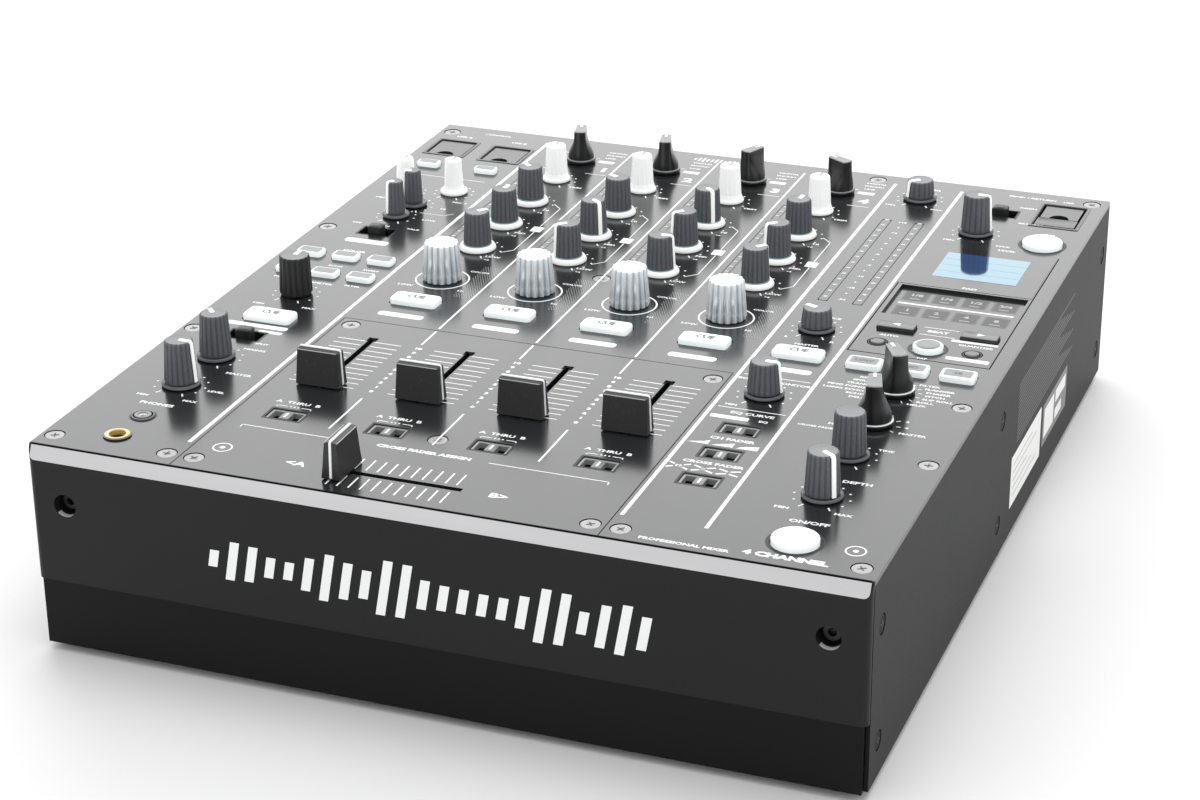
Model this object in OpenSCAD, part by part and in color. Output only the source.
// Four-channel table-top DJ mixer, built as separate pieces.
// +Z is up, +X is the player's right, +Y is the back. The origin is at the
// middle of the footprint, at the bottom of the feet.
// Places on the control panel are given as (x, y): x from the left edge of
// the casing and y from the front edge of the flat top.

/* [Casing] */
// Width of the casing
body_w = 333; // [333:1:345]
// Height of the flat top above the table
top_z = 88.2; // [86:0.1:96]
// Depth of the flat top
top_d = 400; // [400:1:410]
// Height of the feet
foot_h = 3.5; // [2:0.5:5]
// Radius of the feet
foot_r = 11; // [8:1:14]
// Sheet thickness of the bottom tray, sides and rear
sheet = 1.6; // [1:0.1:2]
// Height of the seam between front panel and tray
seam_z = 31.9; // [28:0.1:40]
// Depth of the chamfer along the front edge
chamfer_d = 3; // [2:0.1:4]
// Height of the chamfer along the front edge
chamfer_h = 5.9; // [4:0.1:8]
// Radius of the front panel's upright edges
corner_r = 3; // [1:0.5:3]
// Reach of the rear connectors behind the rear panel
rear_reach = 11; // [9:0.5:12]

/* [Control panel] */
// Thickness of the top plates
plate = 2; // [1.6:0.1:2.4]
// Gap around the fader plate
groove = 0.4; // [0.3:0.1:0.6]
// Left edge of the fader plate
fader_x0 = 60; // [58:0.5:60]
// Right edge of the fader plate
fader_x1 = 231; // [231:0.5:232]
// Rear edge of the fader plate
fader_y1 = 153; // [152:0.5:153.5]
// Middle of the first channel strip
channel_x = 80.8; // [80:0.1:82]
// Distance from one channel strip to the next
channel_pitch = 43.2; // [43:0.1:43.4]

/* [Rotary controls] */
// Radius of the shafts
shaft_r = 3; // [2.5:0.1:3]
// Radial play of a shaft in its bushing
shaft_play = 0.08; // [0.05:0.01:0.1]
// Gap between the panel and the knobs
knob_gap = 0.5; // [0.4:0.1:1]

/* [Faders] */
// Travel of the channel faders and of the crossfader
fader_travel = 45; // [40:1:45]
// Height of the fader caps above the panel
cap_h = 16; // [14:0.5:18]
// Width of a fader cap across its travel
cap_w = 19; // [17:0.5:20]
// Length of a fader cap along its travel
cap_l = 8; // [7:0.5:9]

/* [Buttons] */
// Play around each button and lever
button_play = 0.4; // [0.3:0.05:0.5]
// Height of the push buttons above the panel
button_h = 2.3; // [2:0.1:3]

/* [Hidden] */
$fn = 48;
half_w = body_w / 2;
// Rows across the casing run from the front edge of the flat top.
top_y0 = -(top_d + chamfer_d + rear_reach) / 2 + chamfer_d;
front_y = top_y0 - chamfer_d;
rear_y = top_y0 + top_d;
plate_z = top_z - plate;
front_t = 3;
eps = 0.01;

// Levels inside the casing
board_z = 68.4;
board_t = 1.6;
pot_h = 9;
pot_w = 11;
bushing_r = 4.2;
bushing_top = plate_z - 0.2;
shaft_foot = board_z + board_t + 2;
panel_hole_r = bushing_r + 0.6;

// Openings that let buttons, levers and covers through the top plates
flange = 1;
flange_t = 1.2;
flange_gap = 0.25;
stem_r = 1.6;
stem_foot = board_z + board_t + 2.6;
rail_z = 71;
rail_wall = 1.5;
slot_w = 2.6;
blade_w = 1.6;

channels = [for (k = [0:3]) channel_x + k * channel_pitch];

// Knob styles: [skirt radius, skirt height, body radius at the foot,
// body radius at the top, height above the panel, colour]
big = [7.9, 1.7, 6.8, 5.7, 19.7, "dimgray"];
equaliser = [8.3, 2, 6.3, 5.5, 18, "darkslategray"];
mic_tone = [6.3, 1.6, 4.4, 3.7, 17.5, "darkslategray"];
white_small = [6.5, 1.8, 4.5, 3.9, 17, "whitesmoke"];
trim_style = [6.6, 1.8, 5.4, 4.6, 18, "whitesmoke"];
silver = [8.8, 2, 8.8, 7.5, 17.5, "silver"];
low_style = [7.8, 1.6, 6.7, 5.9, 10, "dimgray"];
middle = [8.1, 1.7, 7, 5.8, 15, "dimgray"];
effect = [7.9, 1.7, 6.8, 5.9, 18.8, "dimgray"];
plain = [7.2, 2, 7.2, 6.6, 18, "black"];
pointer = [7, 2, 6.3, 3, 16.8, "black"];
pointer_big = [8, 2, 7.2, 3.4, 18.3, "black"];

// Knobs that appear once: [name, x, y, style]
single_knobs = [
    ["knob_phones_level", 28.5, 68, big],
    ["knob_phones_mix", 28.5, 97.5, big],
    ["knob_color_parameter", 28.5, 170.5, plain],
    ["knob_mic_low", 29.3, 271.5, mic_tone],
    ["knob_mic_high", 31, 287.5, mic_tone],
    ["knob_mic_1", 20, 303.5, white_small],
    ["knob_mic_2", 42, 309, white_small],
    ["knob_master_level", 249.5, 373.5, low_style],
    ["knob_master_balance", 249.5, 208, low_style],
    ["knob_booth", 249.5, 136.8, middle],
    ["knob_send_level", 284.5, 339, effect],
    ["selector_beat", 297, 157, pointer_big],
    ["selector_effect_channel", 297, 125.5, pointer_big],
    ["knob_effect_time", 296.5, 94, effect],
    ["knob_effect_depth", 297, 57.5, effect],
];

// Knobs of every channel strip: [name, x from the strip's middle, y, style]
strip_knobs = [
    ["selector_input", 1.5, 370, pointer],
    ["knob_trim", 0, 341.5, trim_style],
    ["knob_high", 0, 309, equaliser],
    ["knob_mid", 0, 277.5, equaliser],
    ["knob_low", 0, 246, equaliser],
    ["knob_color", 0, 207, silver],
];

KNOBS = concat(single_knobs, [
    for (k = [0:3])
        for (s = strip_knobs) [str(s[0], "_", k + 1), channels[k] + s[1], s[2], s[3]]
]);

// Fader places: the cap's middle at the end of its travel
channel_fader_y = 87.5;
cross_fader = [123, 17.8];
fader_slot = fader_travel + 7;

// Lit push buttons: [x, y, width, depth]; a depth of 0 means a round button
lit_buttons = concat([for (x = channels) [x, 179, 21, 10]], [
    [250.5, 179, 21, 10],
    [30.2, 142.6, 21.5, 11],
    [316, 334, 17.8, 0],
    [298.5, 19.5, 17.6, 0],
]);
small_buttons = concat(
    [for (x = [13.5, 30.5, 47.5]) for (y = [194.8, 215.8]) [x, y, 11.8, 7.4]],
    [for (x = [278.5, 297.8, 317.2]) [x, 178, 14.2, 9]],
    [
        [15, 341, 10.8, 6.2],
        [44.5, 341, 10.8, 6.2],
        [280.4, 220.2, 15.9, 6.7],
        [315.7, 220.2, 15.5, 6.7],
        [298.2, 203, 12.6, 0],
        [276.8, 203.5, 8, 0],
        [316.5, 203.5, 8, 0],
    ]
);
BUTTONS = concat(lit_buttons, small_buttons);

// Slide switches: [x, y]
switch_window = [15, 9];
switch_lever = [4.4, 6.4];
fader_plate_switches = [for (x = channels) [x, 56]];
panel_switches = [[250.5, 102.5], [250.5, 79.5], [250.5, 55.5]];
// Slide switches with a taller lever that stands above the panel
raised_switches = [[29, 122], [29.5, 250], [289, 368]];
raised_lever = [7, 6.2];
raised_lever_h = 3.6;

// Lift-off covers over the USB sockets: [x, y, width, depth]
usb_ports = [[15.3, 367.5, 18, 19], [44.2, 366.5, 18, 19], [315.5, 372, 19, 27]];
cover_t = 1.6;

// Windows and shallow pockets: [x, y, width, depth]
lcd = [297.5, 297, 37, 29.6];
pad = [297.3, 251.5, 55.2, 34];
pad_depth = 1.4;
master_meters = [[242.5, 290.7, 4, 103], [257.7, 290.7, 4, 103]];
channel_meters = [for (x = channels) [x - 16.5, 299, 3, 92]];
METERS = concat(master_meters, channel_meters);

// Headphone sockets on the panel: [x, y, bore radius, outer radius]
phones_jack = [28.5, 17, 3.2, 5.5];
mini_jack = [29, 36, 1.8, 4.5];

// Screws: radius of the head, of its seat, of the shank and of the shank's hole
head_r = 3.8;
seat_r = 4.1;
screw_depth = 1.2;
shank_r = 1.5;
shank_hole_r = 1.7;
panel_screws = [
    [5.5, 9.5], [54, 9.5], [237, 8.5], [326, 8.5], [326.5, 96.5],
    [325.5, 151], [5, 122], [5.5, 249], [145.5, 231], [326, 393],
    [224, 393], [6, 390],
];
fader_screws = [[65.5, 9.5], [225.5, 8.5], [65.5, 147], [225.5, 145], [145.5, 55]];
side_screw_y = [12.5, 193, 389];
side_screw_z = [18.5, 65.5];
front_screw_z = 65;
front_screw_x = 15;
front_hole_r = 4.7;
front_cup_d = 5;

// Rear connectors, x from the left edge seen from the front, z from the table
rca_r = 4.15;
rca_x = [for (k = [0:7]) 118 + 14 * k];
rca_rows = [58, 74];
digital_x = [for (k = [0:4]) 118 + 14 * k];
digital_z = 24;
record_x = [62, 76, 90];
trs_r = 3.2;
trs_nut_r = 6.2;
trs_places = [[262, 24], [278, 24], [294, 24], [310, 24], [262, 47], [278, 47], [294, 47]];
xlr_places = [[70, 62], [100, 62]];
combo_place = [310, 70];
xlr_r = 9.6;
xlr_depth = 14;
trs_depth = 16;
network_place = [214, 24, 15, 13];
computer_place = [240, 24, 11.4, 10.6];
inlet_place = [30, 62];
inlet_w = 25;
inlet_h = 17;
inlet_depth = 15;
power_button_place = [30, 28];
power_button_size = [14, 9];

// Turns panel places into the object's own frame.
module at_panel(x, y, z = 0) {
    translate([x - half_w, top_y0 + y, top_z + z]) children();
}

// A centred block standing on the xy plane.
module slab(w, d, h) {
    translate([-w / 2, -d / 2, 0]) cube([w, d, h]);
}

// The outline of a button or of its opening; a depth of 0 means round.
module key_outline(w, d, grow = 0) {
    r = 1.6 + grow;
    if (d == 0) {
        circle(r = w / 2 + grow);
    } else {
        x = w / 2 + grow;
        y = d / 2 + grow;
        square([2 * x, 2 * (y - r)], center = true);
        square([2 * (x - r), 2 * y], center = true);
        for (sx = [-1, 1]) for (sy = [-1, 1])
            translate([sx * (x - r), sy * (y - r)]) circle(r = r);
    }
}

// The seat of a screw and the hole for its shank, cut down from the surface.
module screw_seat() {
    translate([0, 0, -screw_depth]) cylinder(r = seat_r, h = screw_depth + 1);
    translate([0, 0, -plate - 1]) cylinder(r = shank_hole_r, h = plate + 1);
}

// A shape turned to stand on the rear panel, facing the back.
module at_rear(x, z, out = 0) {
    translate([x - half_w, rear_y + out, z]) rotate([-90, 0, 0]) children();
}

// ---- static pieces -------------------------------------------------------

module bottom_chassis() {
    inner = half_w - sheet;
    y0 = front_y + 1;
    depth = rear_y - sheet - y0;
    color("#1b1b1c") {
        translate([-inner, y0, foot_h]) cube([2 * inner, depth, sheet]);
        translate([-inner, y0, foot_h + sheet - eps])
            cube([2 * inner, 2, seam_z - foot_h - sheet - 0.3]);
    }
}

module side_panels() {
    y0 = front_y + corner_r + 1;
    color("#2c2d2e")
        for (side = [-1, 1])
            difference() {
                translate([side * (half_w - sheet / 2) - sheet / 2, y0, foot_h])
                    cube([sheet, rear_y - y0, top_z - foot_h - plate]);
                for (y = side_screw_y) for (z = side_screw_z)
                    translate([side * half_w, top_y0 + y, z]) rotate([0, side * 90, 0])
                        screw_seat();
            }
}

module front_outline() {
    top_land = 0.8;
    polygon([
        [front_y, seam_z], [front_y, top_z - chamfer_h], [top_y0, top_z],
        [top_y0 + top_land, top_z], [top_y0 + top_land, plate_z - 0.5],
        [front_y + front_t, plate_z - 2], [front_y + front_t, seam_z],
    ]);
}

// Rounded footprint of the front panel.
module front_footprint() {
    depth = 12;
    translate([-half_w, front_y + corner_r]) square([body_w, depth]);
    translate([-half_w + corner_r, front_y]) square([body_w - 2 * corner_r, depth]);
    for (side = [-1, 1])
        translate([side * (half_w - corner_r), front_y + corner_r]) circle(r = corner_r);
}

module front_panel() {
    cup_wall = 1.5;
    color("#101010")
        difference() {
            union() {
                intersection() {
                    translate([-half_w, 0, 0]) rotate([90, 0, 90])
                        linear_extrude(body_w) front_outline();
                    linear_extrude(top_z) front_footprint();
                }
                for (side = [-1, 1])
                    translate([side * (half_w - front_screw_x), front_y + front_t - 0.5, front_screw_z])
                        rotate([-90, 0, 0])
                            cylinder(r = front_hole_r + cup_wall, h = front_cup_d + cup_wall);
            }
            for (side = [-1, 1])
                translate([side * (half_w - front_screw_x), front_y - 1, front_screw_z])
                    rotate([-90, 0, 0])
                        cylinder(r = front_hole_r, h = front_t + front_cup_d + 0.5);
        }
}

module rear_panel() {
    inner = half_w - sheet;
    color("#202021")
        difference() {
            translate([-inner, rear_y - sheet, foot_h])
                cube([2 * inner, sheet, top_z - foot_h - plate]);
            for (x = rca_x) for (z = rca_rows) at_rear(x, z, -5) cylinder(r = rca_r + 0.2, h = 10);
            for (x = digital_x) at_rear(x, digital_z, -5) cylinder(r = rca_r + 0.2, h = 10);
            for (x = record_x) at_rear(x, digital_z, -5) cylinder(r = rca_r + 0.2, h = 10);
            for (p = trs_places) at_rear(p[0], p[1], -5) cylinder(r = 5.2, h = 10);
            for (p = concat(xlr_places, [combo_place]))
                at_rear(p[0], p[1], -5) cylinder(r = xlr_r + 1.7, h = 10);
            for (p = [network_place, computer_place])
                at_rear(p[0], p[1], -5) translate([0, 0, 5]) cube([p[2] + 0.4, p[3] + 0.4, 10], center = true);
            at_rear(inlet_place[0], inlet_place[1]) cube([inlet_w + 4.4, inlet_h + 4.4, 10], center = true);
            at_rear(power_button_place[0], power_button_place[1])
                cube([
                    power_button_size[0] + 2 * button_play,
                    power_button_size[1] + 2 * button_play, 10,
                ], center = true);
        }
}

// Windows for the slide switches, cut through a top plate.
module switch_holes(places) {
    for (p = places)
        at_panel(p[0], p[1], -plate - 1) slab(switch_window[0], switch_window[1], plate + 2);
}

module control_panel() {
    y0 = 0.8;
    opening_w = fader_x1 - fader_x0 + 2 * groove;
    color("#2a2b2c")
        difference() {
            at_panel(0, y0, -plate) cube([body_w, top_d - y0, plate]);
            at_panel(fader_x0 - groove, -1, -plate - 1)
                cube([opening_w, fader_y1 + groove + 1, plate + 2]);
            for (k = KNOBS)
                at_panel(k[1], k[2], -plate - 1) cylinder(r = panel_hole_r, h = plate + 2);
            for (b = BUTTONS)
                at_panel(b[0], b[1], -plate - 1)
                    linear_extrude(plate + 2) key_outline(b[2], b[3], button_play);
            for (m = concat(METERS, [lcd]))
                at_panel(m[0], m[1], -plate - 1) slab(m[2] + 0.4, m[3] + 0.4, plate + 2);
            for (u = usb_ports)
                at_panel(u[0], u[1], -plate - 1) slab(u[2] + 0.8, u[3] + 0.8, plate + 2);
            for (j = [phones_jack, mini_jack])
                at_panel(j[0], j[1], -plate - 1) cylinder(r = j[3] + 0.1, h = plate + 2);
            at_panel(pad[0], pad[1], -pad_depth) slab(pad[2], pad[3], pad_depth + 1);
            switch_holes(concat(panel_switches, raised_switches));
            for (p = panel_screws) at_panel(p[0], p[1]) screw_seat();
        }
}

module fader_panel() {
    slot_y = channel_fader_y + fader_travel / 2;
    slot_x = cross_fader[0] + fader_travel / 2;
    color("#2a2b2c")
        difference() {
            at_panel(fader_x0, 0.8, -plate) cube([fader_x1 - fader_x0, fader_y1 - 0.8, plate]);
            for (x = channels)
                at_panel(x, slot_y, -plate - 1) slab(slot_w, fader_slot, plate + 2);
            at_panel(slot_x, cross_fader[1], -plate - 1) slab(fader_slot, slot_w, plate + 2);
            switch_holes(fader_plate_switches);
            for (p = fader_screws) at_panel(p[0], p[1]) screw_seat();
        }
}

// A countersunk cross-head screw, its head sunk just below the surface.
module screw(length) {
    difference() {
        union() {
            translate([0, 0, -screw_depth]) cylinder(r = head_r, h = screw_depth - 0.15);
            translate([0, 0, -length]) cylinder(r = shank_r, h = length - screw_depth + eps);
        }
        for (turn = [0, 90])
            rotate(turn) translate([0, 0, -0.7]) slab(3.6, 0.8, 1);
    }
}

module screws() {
    hex_r = 1.6;
    color("#b9babb") {
        for (p = concat(panel_screws, fader_screws)) at_panel(p[0], p[1]) screw(plate);
        for (side = [-1, 1]) for (y = side_screw_y) for (z = side_screw_z)
            translate([side * half_w, top_y0 + y, z])
                rotate([0, side * 90, 0]) screw(sheet);
        for (side = [-1, 1])
            translate([side * (half_w - front_screw_x), front_y + front_t + front_cup_d - 0.5, front_screw_z])
                rotate([90, 0, 0])
                    difference() {
                        cylinder(r = head_r, h = 3);
                        translate([0, 0, 1]) cylinder(r = hex_r, h = 3, $fn = 6);
                    }
    }
}

module feet() {
    inset_x = 27;
    inset_y = 28;
    color("#151515")
        for (side = [-1, 1]) for (y = [front_y + inset_y, rear_y - inset_y])
            translate([side * (half_w - inset_x), y, 0]) cylinder(r = foot_r, h = foot_h);
}

module circuit_boards() {
    inner_w = body_w - 20;
    supply = [90, 120, 30];
    stand_r = 2.5;
    floor_z = foot_h + sheet;
    color("#2f5d3a") {
        at_panel(10, 6, board_z - top_z) cube([inner_w, top_d - 46, board_t]);
        for (x = [22, body_w - 22]) for (y = [22, 150, 330])
            at_panel(x, y, floor_z - top_z) cylinder(r = stand_r, h = board_z - floor_z);
        // power supply on its own bracket
        at_panel(36, 210, floor_z - top_z) cube([supply[0], supply[1], supply[2]]);
        // converter and signal board
        at_panel(150, 200, floor_z - top_z + 6) cube([150, 150, board_t]);
        for (x = [156, 294]) for (y = [206, 344])
            at_panel(x, y, floor_z - top_z) cylinder(r = stand_r, h = 6);
        // tact switches under the buttons
        for (b = BUTTONS) at_panel(b[0], b[1], board_z + board_t - top_z) slab(6, 6, 1.2);
        // slide switch bodies
        for (p = concat(panel_switches, raised_switches, fader_plate_switches))
            at_panel(p[0], p[1], board_z + board_t - top_z) slab(14, 7, 3);
    }
}

// A potentiometer: a square can with a threaded bushing, bored for its shaft.
module potentiometer() {
    can_z = board_z + board_t;
    difference() {
        union() {
            translate([0, 0, can_z]) slab(pot_w, pot_w, pot_h);
            translate([0, 0, can_z + pot_h - eps])
                cylinder(r = bushing_r, h = bushing_top - can_z - pot_h + eps);
        }
        translate([0, 0, shaft_foot - 0.5])
            cylinder(r = shaft_r + shaft_play, h = top_z);
    }
}

// The rail that a fader's carriage runs in: a trough open upwards.
module fader_rail() {
    inner_l = fader_travel + 12;
    inner_w = 8;
    depth = plate_z - 1 - rail_z;
    difference() {
        slab(inner_w + 2 * rail_wall, inner_l + 2 * rail_wall, depth);
        translate([0, 0, rail_wall]) slab(inner_w, inner_l, depth);
    }
}

module control_units() {
    color("#8c8e90") {
        for (k = KNOBS) at_panel(k[1], k[2], -top_z) potentiometer();
        for (x = channels)
            at_panel(x, channel_fader_y + fader_travel / 2, rail_z - top_z) fader_rail();
        at_panel(cross_fader[0] + fader_travel / 2, cross_fader[1], rail_z - top_z)
            rotate(90) fader_rail();
    }
}

// A phono socket: barrel with a centre hole, pointing out of the rear.
module rca() {
    difference() {
        translate([0, 0, -8]) cylinder(r = rca_r, h = 8 + rear_reach - 1.5);
        cylinder(r = 1.7, h = rear_reach + 1);
    }
}

// A 6.35 mm socket with its nut.
module trs() {
    difference() {
        union() {
            translate([0, 0, -trs_depth - 1.5]) cylinder(r = 5, h = trs_depth + 1.5);
            cylinder(r = trs_nut_r, h = 2, $fn = 6);
            cylinder(r = 5, h = 3);
        }
        translate([0, 0, -trs_depth]) cylinder(r = trs_r, h = trs_depth + 4);
    }
}

// A round three-pole socket in a square flange.
module xlr() {
    wall = 1.5;
    difference() {
        union() {
            translate([0, 0, -xlr_depth - wall]) cylinder(r = xlr_r + wall, h = xlr_depth + wall);
            slab(26, 30, 1.6);
        }
        translate([0, 0, -xlr_depth]) cylinder(r = xlr_r, h = xlr_depth + 4);
    }
    for (a = [30, 150, 270])
        translate([5 * cos(a), 5 * sin(a), -xlr_depth - eps]) cylinder(r = 1.2, h = 8);
}

// A combined socket: a solid insert with a 6.35 mm bore in the middle.
module combo() {
    difference() {
        union() {
            translate([0, 0, -xlr_depth - 1.5]) cylinder(r = xlr_r + 1.5, h = xlr_depth + 1.5);
            slab(26, 30, 1.6);
        }
        translate([0, 0, -xlr_depth]) cylinder(r = trs_r, h = xlr_depth + 4);
        for (a = [90, 210, 330])
            translate([6.3 * cos(a), 6.3 * sin(a), -10]) cylinder(r = 1.4, h = 14);
    }
}

// A rectangular data socket: a shell with a blind cavity.
module data_socket(w, h) {
    difference() {
        translate([0, 0, -14]) slab(w, h, 14.8);
        translate([0, 0, -12.5]) slab(w - 2, h - 2, 14);
    }
}

module mains_inlet() {
    wall = 2;
    difference() {
        union() {
            translate([0, 0, -inlet_depth - wall]) slab(inlet_w + 2 * wall, inlet_h + 2 * wall, inlet_depth + wall);
            slab(inlet_w + 9, inlet_h + 9, 1.5);
        }
        translate([0, 0, -inlet_depth]) slab(inlet_w, inlet_h, inlet_depth + 4);
    }
    for (p = [[-7, 0], [0, 3.5], [7, 0]])
        translate([p[0], p[1], -inlet_depth - eps]) slab(2, 4, 9);
}

module connectors() {
    color("#b8b9bb") {
        for (x = rca_x) for (z = rca_rows) at_rear(x, z) rca();
        for (x = concat(digital_x, record_x)) at_rear(x, digital_z) rca();
        for (p = trs_places) at_rear(p[0], p[1]) trs();
        for (p = xlr_places) at_rear(p[0], p[1]) xlr();
        at_rear(combo_place[0], combo_place[1]) combo();
        at_rear(inlet_place[0], inlet_place[1]) mains_inlet();
        for (p = [network_place, computer_place]) at_rear(p[0], p[1]) data_socket(p[2], p[3]);
        // earth terminal
        at_rear(236, 66) cylinder(r = 4, h = rear_reach);
        // headphone sockets, their mouths just proud of the panel
        for (j = [phones_jack, mini_jack])
            at_panel(j[0], j[1], -16)
                difference() {
                    cylinder(r = j[3], h = 16.6);
                    translate([0, 0, 1.5]) cylinder(r = j[2], h = 16);
                }
        // USB sockets under the covers
        for (u = usb_ports)
            at_panel(u[0], u[1], board_z + board_t - top_z)
                difference() {
                    slab(13.6, 6, 13);
                    for (side = [-1, 1]) translate([0, side * 1.7, 2]) slab(12.4, 1.4, 13);
                }
    }
}

module display() {
    lens_t = 1.5;
    color("#8fb9d6") {
        at_panel(lcd[0], lcd[1], -lens_t - 0.2) slab(lcd[2], lcd[3], lens_t);
        for (m = METERS) at_panel(m[0], m[1], -lens_t - 0.1) slab(m[2], m[3], lens_t);
    }
}

// ---- moving pieces -------------------------------------------------------

// A knob with its shaft. The pointer knobs carry an upright blade.
module knob(k) {
    s = k[3];
    is_pointer = s == pointer || s == pointer_big;
    blade = [3.4, 2 * s[0] - 1];
    color(s[5])
        at_panel(k[1], k[2]) {
            translate([0, 0, shaft_foot - top_z])
                cylinder(r = shaft_r, h = top_z - shaft_foot + knob_gap + 1);
            translate([0, 0, knob_gap]) cylinder(r = s[0], h = s[1]);
            if (is_pointer) {
                translate([0, 0, knob_gap]) cylinder(r1 = s[2], r2 = s[3], h = s[4] - knob_gap - 5);
                translate([0, 0, knob_gap]) slab(blade[0], blade[1], s[4] - knob_gap);
            } else {
                translate([0, 0, knob_gap]) cylinder(r1 = s[2], r2 = s[3], h = s[4] - knob_gap);
            }
        }
}

// A fader cap on its blade, with the carriage that runs in the rail.
// It lies with its travel along +Y and its middle at the origin.
module fader_cap() {
    foot_gap = 0.4;
    top_l = 5;
    carriage = [7.2, 9, 7];
    carriage_z = rail_z + rail_wall + 0.4 - top_z;
    rotate([90, 0, 90]) translate([0, 0, -cap_w / 2])
        linear_extrude(cap_w)
            polygon([
                [-cap_l / 2, foot_gap], [cap_l / 2, foot_gap],
                [top_l / 2 + 0.3, cap_h - 2], [top_l / 2, cap_h],
                [-top_l / 2, cap_h], [-top_l / 2 - 0.3, cap_h - 2],
            ]);
    translate([0, 0, carriage_z]) slab(blade_w, 4, foot_gap + 1 - carriage_z);
    translate([0, 0, carriage_z]) slab(carriage[0], carriage[1], carriage[2]);
}

module channel_fader(x) {
    color("#1a1a1a") at_panel(x, channel_fader_y) fader_cap();
}

module crossfader() {
    color("#1a1a1a") at_panel(cross_fader[0], cross_fader[1]) rotate(-90) fader_cap();
}

module push_buttons() {
    color("#f2f2ee")
        for (b = BUTTONS)
            at_panel(b[0], b[1]) {
                translate([0, 0, -plate - flange_gap - flange_t])
                    linear_extrude(flange_t) key_outline(b[2], b[3], flange);
                translate([0, 0, -plate - flange_gap - flange_t])
                    linear_extrude(plate + flange_gap + flange_t + button_h)
                        key_outline(b[2], b[3]);
                translate([0, 0, stem_foot - top_z])
                    cylinder(r = stem_r, h = plate_z - flange_gap - flange_t - stem_foot + 0.5);
            }
}

module slide_switches() {
    lever_foot = board_z + board_t + 3.4 - top_z;
    color("#d9d9d6") {
        for (p = concat(fader_plate_switches, panel_switches))
            at_panel(p[0], p[1], lever_foot)
                slab(switch_lever[0], switch_lever[1], -lever_foot + 0.6);
        for (p = raised_switches)
            at_panel(p[0], p[1], lever_foot)
                slab(raised_lever[0], raised_lever[1], -lever_foot + raised_lever_h);
    }
}

module usb_covers() {
    notch_r = 3.5;
    color("#1d1d1e")
        for (u = usb_ports)
            at_panel(u[0], u[1], -cover_t)
                difference() {
                    slab(u[2], u[3], cover_t);
                    translate([0, -u[3] / 2, -1]) cylinder(r = notch_r, h = cover_t + 2);
                }
}

module power_switch() {
    color("#151515")
        at_rear(power_button_place[0], power_button_place[1], -10)
            slab(power_button_size[0], power_button_size[1], 13);
}

bottom_chassis();
side_panels();
front_panel();
rear_panel();
control_panel();
fader_panel();
screws();
feet();
circuit_boards();
control_units();
connectors();
display();
for (k = KNOBS) knob(k);
for (k = [1:4]) channel_fader(channels[k - 1]);
crossfader();
push_buttons();
slide_switches();
usb_covers();
power_switch();
